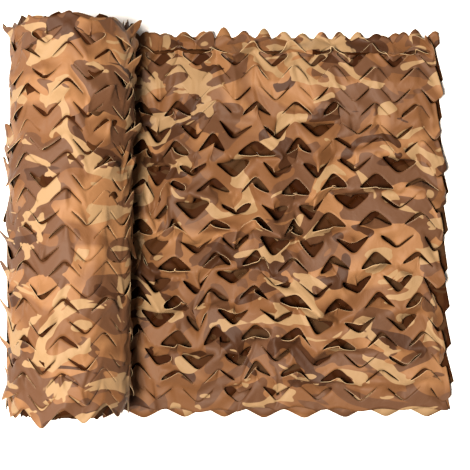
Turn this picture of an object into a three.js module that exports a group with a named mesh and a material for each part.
// A camouflage shade net lying on the ground: a net of incised cloth, folded once along its length,
// wound into a roll, with the last part of it pulled off the roll and laid out flat beside it.
// Millimetres. +X runs from the roll to the cut end of the net, +Y along the roll's axis towards the
// folded edge, +Z up. The origin is the centre of the footprint, on the ground.
import * as THREE from "three";

// The incised cloth
const CLOTH = 1.5; // thickness of the coated cloth with its curl
const REPEAT = 90; // one zigzag of the cuts, along the net
const ZIG = 14.5; // how far a band's corners swing to each side of its line
const BEND = 10.5; // the same, where the rounded corner meets the straight arm
const JOINT = 9; // half of the uncut length that joins two bands at a corner
const SHOULDER = 0.72; // share of a cut's opening where its rounded corner meets the arm

// The laid part
const LAID_REPEATS = 8;
const LAID_REPEAT = 83; // the repeat, drawn in a little where the net is pulled open
const MARGIN = 13; // uncut cloth where it leaves the roll
const LAID_BANDS = 20;
const LAID_BAND = 35.5; // width of one zigzag band, across the net
const MIDDLE_SPREAD = 0.012; // how much further apart the bands lie near the middle
const FOLD_Y = 358; // where the net turns over into its lower layer
const FOLD_WAVES = [{ swing: 4, length: 95 }, { swing: -3, length: 41 }];
const FOLD_CREASE = 0.35; // share of the zigzag left in the turn at the fold
const SELVEDGE_Y = FOLD_Y - LAID_BANDS * LAID_BAND; // upper layer's long edge
const SELVEDGE_SWING = 0.35; // share of the zigzag that this edge shows
const UPPER_Z = 15; // mean height of the upper layer's cloth away from the roll
const UNDER_ROLL_Z = 4; // its height where it leaves the roll
const RISE = { from: 49, to: 150 }; // how far from the roll's axis it rises between the two
const LOWER_Z = CLOTH / 2; // the lower layer lies on the ground
const LOWER_ROWS = [24, 110, 200, 290, 380, 470, 560, 650, 721]; // its rows, by distance from the fold
const LOWER_WAVE = { height: 1.6, length: 37 };

// The cuts of the laid part
const TIP_LIFT = 20; // how far a free tip stands off its band where the net is most open
const TIP_CURL = 1.5; // and where it lies shut
const TIP_REACH = 29; // a tip's length from the joint that it turns on
const CORNER_DIP = 3; // how far the other band's corner sinks behind that tip
const CORNER_DRAW = 5; // and how far it draws back
const SHUT_GAP = 4.4; // opening of a cut where the net lies almost shut
const OPEN_MIDDLE = { x: 20, y: -20, reachX: 330, reachY: 240 }; // where the net is pulled open
const OPEN_LEAST = 0.12; // share of that at its edges
const OPEN_FROM_ROLL = { from: 70, to: 190 }; // the roll holds the net shut up to here
const STRAY = { along: 2.2, across: 1.5, cutEnd: 7, lowerEdge: 3, lift: 0.45 }; // unevenness

// The roll
const ROLL_X = -306; // its axis, from the middle of the view
const ROLL_LEAN = 0.014; // the roll lies slightly askew
const ROLL_RADIUS = 116;
const ROLL_FLAT = 2; // how far the roll has settled into its flat spot
const ROLL_REPEATS = 8;
const ROLL_BANDS = 22;
const ROLL_HALF_LENGTH = 367;
const ROLL_CUT = { lift: 6, sink: 1, step: 4, stray: 0.4 }; // tips stand in relief beside a step
const PRESSED = { from: 0.82, to: 0.95 }; // cosine from straight down where the relief is pressed flat
const PRESSED_SWING = 0.25; // share of the zigzag left there
const PRESSED_STEP = 0.3; // and of the step at a cut
const ROLL_FRAY = 5; // unevenness of the ends
const TAIL = 37; // the last turn runs this far from the axis before the laid part starts
const TAIL_HEIGHT = 5.4;
const TAIL_THIN = 0.5; // thickness to which the tail narrows inside the roll's ends
const TAIL_ROOT = { from: 12, to: 47 }; // part of the outline that the tail takes the place of
const SEAT_GAP = 0.35; // between the end of the tail and the laid part

// Corner columns of one zigzag: place along the repeat and swing across the net.
const CORNERS = [
  { along: 0, swing: ZIG },
  { along: JOINT, swing: BEND },
  { along: REPEAT / 2 - JOINT, swing: -BEND },
  { along: REPEAT / 2, swing: -ZIG },
  { along: REPEAT / 2 + JOINT, swing: -BEND },
  { along: REPEAT - JOINT, swing: BEND },
];
const PER_REPEAT = CORNERS.length;

// Soft mounds and hollows of the laid part, placed by their middle and their reach to each side.
const MOUNDS = [
  { x: -60, y: 60, reachX: 130, reachY: 110, height: 11 },
  { x: 120, y: 120, reachX: 110, reachY: 70, height: 7 },
  { x: 70, y: -110, reachX: 150, reachY: 90, height: 10 },
  { x: -130, y: -190, reachX: 70, reachY: 90, height: 7 },
  { x: 330, y: -20, reachX: 70, reachY: 170, height: 5 },
  { x: 180, y: -290, reachX: 190, reachY: 40, height: 6 },
  { x: 60, y: 310, reachX: 330, reachY: 34, height: 8 },
  { x: -110, y: 235, reachX: 90, reachY: 55, height: -4 },
  { x: 250, y: 215, reachX: 100, reachY: 60, height: -4 },
];

// Soft lumps of the roll, by place along its axis and by angle from its top, in degrees.
const LUMPS = [
  { y: 280, angle: -20, reachY: 90, reachAngle: 60, height: 4 },
  { y: 150, angle: 60, reachY: 70, reachAngle: 50, height: -4 },
  { y: 20, angle: 20, reachY: 90, reachAngle: 50, height: 4 },
  { y: -90, angle: -60, reachY: 80, reachAngle: 40, height: -3 },
  { y: -230, angle: 40, reachY: 110, reachAngle: 70, height: 3 },
  { y: -330, angle: -50, reachY: 50, reachAngle: 60, height: 4 },
];

// End rings of the roll: share of its radius, and how far the turns there stand in from the rim.
const END_RINGS = [
  { share: 0.84, inset: 15 },
  { share: 0.6, inset: 5 },
  { share: 0.34, inset: 16 },
];
const RING_STRAY = 3;
const END_EYE = 26; // depth of the small hollow at the middle of each end

// A repeatable scatter from -1 to 1 for column i and row j. Each use has a salt of its own.
const SALT = { along: 1, cutEnd: 2, across: 4, lift: 5, lowerEdge: 6, fray: 7, rollLift: 8, ring: 9 };
function scatter(i, j, salt) {
  const value = Math.sin(i * 127.1 + j * 311.7 + salt * 74.7) * 43758.5453;
  return 2 * (value - Math.floor(value)) - 1;
}

function ease(range, value) {
  return THREE.MathUtils.smoothstep(value, range.from, range.to);
}

// A soft round bump, 1 in its middle, by distances counted in its reach.
function bump(across, along) {
  return Math.exp(-(across ** 2) - along ** 2);
}

// A surface of points and triangles, with its faces seen anticlockwise from outside.
class Surface {
  points = [];
  faces = [];

  add(x, y, z) {
    return this.points.push(new THREE.Vector3(x, y, z)) - 1;
  }

  triangle(a, b, c) {
    if (a !== b && b !== c && c !== a) this.faces.push([a, b, c]);
  }

  // A quad round a, b, c, d, parted along its shorter diagonal.
  quad(a, b, c, d) {
    const p = this.points;
    if (p[a].distanceTo(p[c]) <= p[b].distanceTo(p[d])) {
      this.triangle(a, b, c);
      this.triangle(a, c, d);
    } else {
      this.triangle(a, b, d);
      this.triangle(b, c, d);
    }
  }

  geometry() {
    const made = new THREE.BufferGeometry().setFromPoints(this.points);
    made.setIndex(this.faces.flat());
    made.computeVertexNormals();
    return made;
  }

  // The closed solid of a sheet of this thickness that has this surface in its middle.
  thickened(thickness) {
    const normals = this.geometry().getAttribute("normal");
    const count = this.points.length;
    const made = new Surface();
    for (const side of [1, -1]) {
      this.points.forEach((point, i) => {
        const normal = new THREE.Vector3().fromBufferAttribute(normals, i);
        const { x, y, z } = point.clone().addScaledVector(normal, (side * thickness) / 2);
        made.add(x, y, z);
      });
    }
    const edges = new Set();
    for (const [a, b, c] of this.faces) {
      made.triangle(a, b, c);
      made.triangle(count + a, count + c, count + b);
      for (const [from, to] of [[a, b], [b, c], [c, a]]) edges.add(`${from} ${to}`);
    }
    for (const edge of edges) {
      const [from, to] = edge.split(" ").map(Number);
      if (!edges.has(`${to} ${from}`)) made.quad(from, count + from, count + to, to);
    }
    return made;
  }
}

// The cut lines run between the bands. An even line is cut over its peaks, so that the band below has
// free tips that point to +Y. An odd line is cut round its troughs, and the band above has the tips.
// The share is 1 at a tip and 0 where the line isn't cut.
function cutShare(line, corner) {
  const tip = line % 2 === 0 ? 0 : PER_REPEAT / 2;
  const away = Math.abs(corner - tip);
  return [1, SHOULDER, 0][Math.min(away, PER_REPEAT - away, 2)];
}

// Which side of a line has the free tips: -1 for the band below it and 1 for the band above.
function tipSide(line) {
  return line % 2 === 0 ? -1 : 1;
}

// How far the net is pulled open at a place of the laid part, from 0 to 1.
function openness(x, y) {
  const { x: middleX, y: middleY, reachX, reachY } = OPEN_MIDDLE;
  const middle = bump((x - middleX) / reachX, (y - middleY) / reachY);
  return (OPEN_LEAST + (1 - OPEN_LEAST) * middle) * ease(OPEN_FROM_ROLL, x - ROLL_X);
}

function rollX(y) {
  return ROLL_X + ROLL_LEAN * y;
}

function foldY(x) {
  return FOLD_WAVES.reduce((y, { swing, length }) => y + swing * Math.sin(x / length), FOLD_Y);
}

// Height of the upper layer's cloth, without its tips.
function upperZ(x, y) {
  let mounds = 0;
  for (const m of MOUNDS) mounds += m.height * bump((x - m.x) / m.reachX, (y - m.y) / m.reachY);
  return UNDER_ROLL_Z + ease(RISE, x - rollX(y)) * (UPPER_Z - UNDER_ROLL_Z + mounds);
}

// A point of the net past the folded edge goes round the fold and back under the upper layer.
function folded(x, y, z) {
  const past = y - foldY(x);
  const radius = (z - LOWER_Z) / 2;
  const turn = past / radius;
  if (past <= 0) return [x, y, z];
  if (turn < Math.PI) {
    return [x, foldY(x) + radius * Math.sin(turn), LOWER_Z + radius * (1 + Math.cos(turn))];
  }
  return [x, foldY(x) - (past - Math.PI * radius), LOWER_Z];
}

// The laid part: an upper layer of bands that are parted by the cuts, the turn at the folded edge, and
// a lower layer, whose cuts lie shut.
function laidNet() {
  const net = new Surface();
  const lastColumn = LAID_REPEATS * PER_REPEAT + 1;
  const columns = [-1, ...Array(lastColumn + 1).keys()]; // -1 is the uncut margin at the roll

  const cornerOf = (column) => (column < 0 ? CORNERS[0] : CORNERS[column % PER_REPEAT]);
  const lineY = (line) => {
    const share = line / LAID_BANDS;
    const spread = MIDDLE_SPREAD * Math.sin(2 * Math.PI * share);
    return SELVEDGE_Y + (FOLD_Y - SELVEDGE_Y) * (share - spread);
  };
  const columnX = (column, line, y) => {
    const start = rollX(y) + TAIL + SEAT_GAP;
    if (column < 0) return start;
    const along = Math.floor(column / PER_REPEAT) + cornerOf(column).along / REPEAT;
    const wander = column > 0 ? STRAY.along * scatter(column, line, SALT.along) : 0;
    const ragged = column === lastColumn ? STRAY.cutEnd * scatter(column, line, SALT.cutEnd) : 0;
    return start + MARGIN + LAID_REPEAT * along + wander + ragged;
  };
  // side is -1 or 1 for the band below or above a cut, and 0 where the line isn't cut
  const laidPoint = (line, column, side) => {
    const swing = cornerOf(column).swing * (line === 0 ? SELVEDGE_SWING : 1);
    const y = lineY(line) + swing + STRAY.across * scatter(column, line, SALT.across);
    const x = columnX(column, line, y);
    const z = upperZ(x, y);
    if (side === 0) return folded(x, y, z);
    const share = cutShare(line, column % PER_REPEAT);
    const open = openness(x, y);
    if (side !== tipSide(line)) {
      const draw = SHUT_GAP / 2 + CORNER_DRAW * open;
      return folded(x, y + side * share * draw, z - share * CORNER_DIP * open);
    }
    // A tip that turns up about its joint draws back by as much as its reach is foreshortened.
    const tip = Math.round((2 * column) / PER_REPEAT);
    const lift = (TIP_CURL + TIP_LIFT * open) * (1 + STRAY.lift * scatter(tip, line, SALT.lift));
    const draw = SHUT_GAP / 2 + TIP_REACH - Math.sqrt(TIP_REACH ** 2 - lift ** 2);
    if (line === LAID_BANDS) return [x, y + CLOTH, z + share * lift]; // straight out of the fold
    return folded(x, y + side * share * draw, z + share * lift);
  };

  // Points on each cut line, for the band under it and for the band over it.
  const under = [];
  const over = [];
  for (let line = 0; line <= LAID_BANDS; line += 1) {
    under.push([]);
    over.push([]);
    for (const column of columns) {
      const cut = line > 0 && column > 0 && cutShare(line, column % PER_REPEAT) > 0;
      const first = net.add(...laidPoint(line, column, cut ? -1 : 0));
      under[line].push(first);
      over[line].push(cut ? net.add(...laidPoint(line, column, 1)) : first);
    }
  }
  for (let line = 0; line < LAID_BANDS; line += 1) {
    for (let i = 0; i + 1 < columns.length; i += 1) {
      net.quad(over[line][i], over[line][i + 1], under[line + 1][i + 1], under[line + 1][i]);
    }
  }

  // The turn at the folded edge, then the lower layer.
  let edge = over[LAID_BANDS];
  const nextRow = (place) => {
    const row = columns.map((column) => net.add(...place(column)));
    for (let i = 0; i + 1 < columns.length; i += 1) net.quad(edge[i], edge[i + 1], row[i + 1], row[i]);
    edge = row;
  };
  nextRow((column) => {
    const x = columnX(column, LAID_BANDS, FOLD_Y);
    const z = upperZ(x, FOLD_Y);
    const halfTurn = (Math.PI / 2) * ((z - LOWER_Z) / 2);
    return folded(x, foldY(x) + halfTurn + FOLD_CREASE * (ZIG + cornerOf(column).swing), z);
  });
  LOWER_ROWS.forEach((down, row) => {
    const isEdge = row === LOWER_ROWS.length - 1;
    const edgeShape = (column) =>
      cornerOf(column).swing / 2 + STRAY.lowerEdge * scatter(column, row, SALT.lowerEdge);
    nextRow((column) => {
      const y = foldY(0) - down - (isEdge ? edgeShape(column) : 0);
      const x = columnX(column, LAID_BANDS + 1 + row, y);
      const wave = Math.max(0, Math.sin(x / LOWER_WAVE.length + row)) * ease(RISE, x - rollX(y));
      return [x, y, LOWER_Z + LOWER_WAVE.height * wave];
    });
  });
  return net.thickened(CLOTH);
}

// The roll's cross-section as columns, each with an angle from the ground that turns towards +X, and a
// share of relief. Two columns make the last turn, which leaves the roll as a tail towards +X.
function rollColumns() {
  const columns = [];
  const total = ROLL_REPEATS * PER_REPEAT;
  for (let i = 0; i < total; i += 1) {
    const corner = i % PER_REPEAT;
    const place = Math.floor(i / PER_REPEAT) + CORNERS[corner].along / REPEAT;
    const angle = (2 * Math.PI * place) / ROLL_REPEATS;
    const across = ROLL_RADIUS * Math.sin(angle);
    const atTail = Math.cos(angle) > 0 && across > TAIL_ROOT.from && across < TAIL_ROOT.to;
    if (atTail) continue;
    columns.push({ angle, corner, relief: 1 - ease(PRESSED, Math.cos(angle)) });
    if (i === 0) columns.push({ tail: TAIL, height: 0 }, { tail: TAIL, height: TAIL_HEIGHT });
  }
  return columns;
}

function netRoll() {
  const roll = new Surface();
  const columns = rollColumns();
  const count = columns.length;
  const axisZ = ROLL_RADIUS - ROLL_FLAT;

  const lineY = (line) => ROLL_HALF_LENGTH * ((2 * line) / ROLL_BANDS - 1);
  const tailPoint = (column, y, share) => {
    const isRim = share === 1;
    const z = isRim ? column.height : TAIL_THIN + column.height * share;
    return [rollX(y) + column.tail * share, y, z];
  };
  // share is 1 on the roll's surface and smaller on the rings of its ends
  const rollPoint = (column, y, lift, share) => {
    if (column.tail) return tailPoint(column, y, share);
    const fromTop = THREE.MathUtils.radToDeg(Math.PI - column.angle);
    let lumps = 0;
    for (const l of LUMPS) {
      lumps += l.height * bump((fromTop - l.angle) / l.reachAngle, (y - l.y) / l.reachY);
    }
    const radius = share * (ROLL_RADIUS + column.relief * (lift + lumps));
    const z = axisZ - radius * Math.cos(column.angle);
    return [rollX(y) + radius * Math.sin(column.angle), y, share === 1 ? Math.max(0, z) : z];
  };
  // Points where a line crosses a column: two beside a cut, for the bands below and above it, or one.
  const linePoints = (line, column, i) => {
    if (column.tail) return [roll.add(...rollPoint(column, lineY(line), 0, 1))];
    const isEnd = line === 0 || line === ROLL_BANDS;
    const swing = CORNERS[column.corner].swing * THREE.MathUtils.lerp(PRESSED_SWING, 1, column.relief);
    const y = lineY(line) + swing + (isEnd ? ROLL_FRAY * scatter(i, line, SALT.fray) : 0);
    const share = isEnd ? 0 : cutShare(line, column.corner);
    if (share === 0) return [roll.add(...rollPoint(column, y, -ROLL_CUT.sink, 1))];
    const tipLift = ROLL_CUT.lift * (1 + ROLL_CUT.stray * scatter(i, line, SALT.rollLift));
    return [-1, 1].map((side) => {
      const lift = side === tipSide(line) ? tipLift : -ROLL_CUT.sink;
      const step = (side * ROLL_CUT.step * THREE.MathUtils.lerp(PRESSED_STEP, 1, column.relief)) / 2;
      return roll.add(...rollPoint(column, y + share * step, share * lift, 1));
    });
  };

  const under = [];
  const over = [];
  for (let line = 0; line <= ROLL_BANDS; line += 1) {
    const points = columns.map((column, i) => linePoints(line, column, i));
    under.push(points.map((pair) => pair[0]));
    over.push(points.map((pair) => pair[pair.length - 1]));
  }
  const ringQuads = (far, near) => {
    for (let i = 0; i < count; i += 1) {
      const next = (i + 1) % count;
      roll.quad(near[next], near[i], far[i], far[next]);
    }
  };
  for (let line = 0; line < ROLL_BANDS; line += 1) {
    ringQuads(over[line], under[line]);
    ringQuads(under[line + 1], over[line]);
  }

  // Both ends: rings of wound cloth, in and out, round a small hollow eye.
  for (const end of [-1, 1]) {
    let ring = end < 0 ? under[0] : over[ROLL_BANDS];
    END_RINGS.forEach(({ share, inset }, at) => {
      const inner = columns.map((column, i) => {
        const stray = RING_STRAY * scatter(i, at * end, SALT.ring);
        return roll.add(...rollPoint(column, end * (ROLL_HALF_LENGTH - inset + stray), 0, share));
      });
      if (end < 0) ringQuads(ring, inner);
      else ringQuads(inner, ring);
      ring = inner;
    });
    const eyeY = end * (ROLL_HALF_LENGTH - END_EYE);
    const eye = roll.add(rollX(eyeY), eyeY, axisZ);
    for (let i = 0; i < count; i += 1) {
      const next = (i + 1) % count;
      if (end < 0) roll.triangle(ring[i], ring[next], eye);
      else roll.triangle(ring[next], ring[i], eye);
    }
  }
  return roll;
}

function incisedCloth() {
  const tan = 0xa9784e; // middle one of the printed colours
  return new THREE.MeshStandardMaterial({ color: tan, roughness: 0.72, metalness: 0 });
}

function named(name, surface) {
  const mesh = new THREE.Mesh(surface.geometry(), incisedCloth());
  mesh.name = name;
  return mesh;
}

const shadeNet = new THREE.Group();
shadeNet.add(named("net_roll", netRoll()), named("net_laid", laidNet()));

// The origin is the middle of the footprint.
const footprint = new THREE.Box3().setFromObject(shadeNet, true);
const middle = footprint.getCenter(new THREE.Vector3());
shadeNet.position.set(-middle.x, -middle.y, 0);

export default shadeNet;
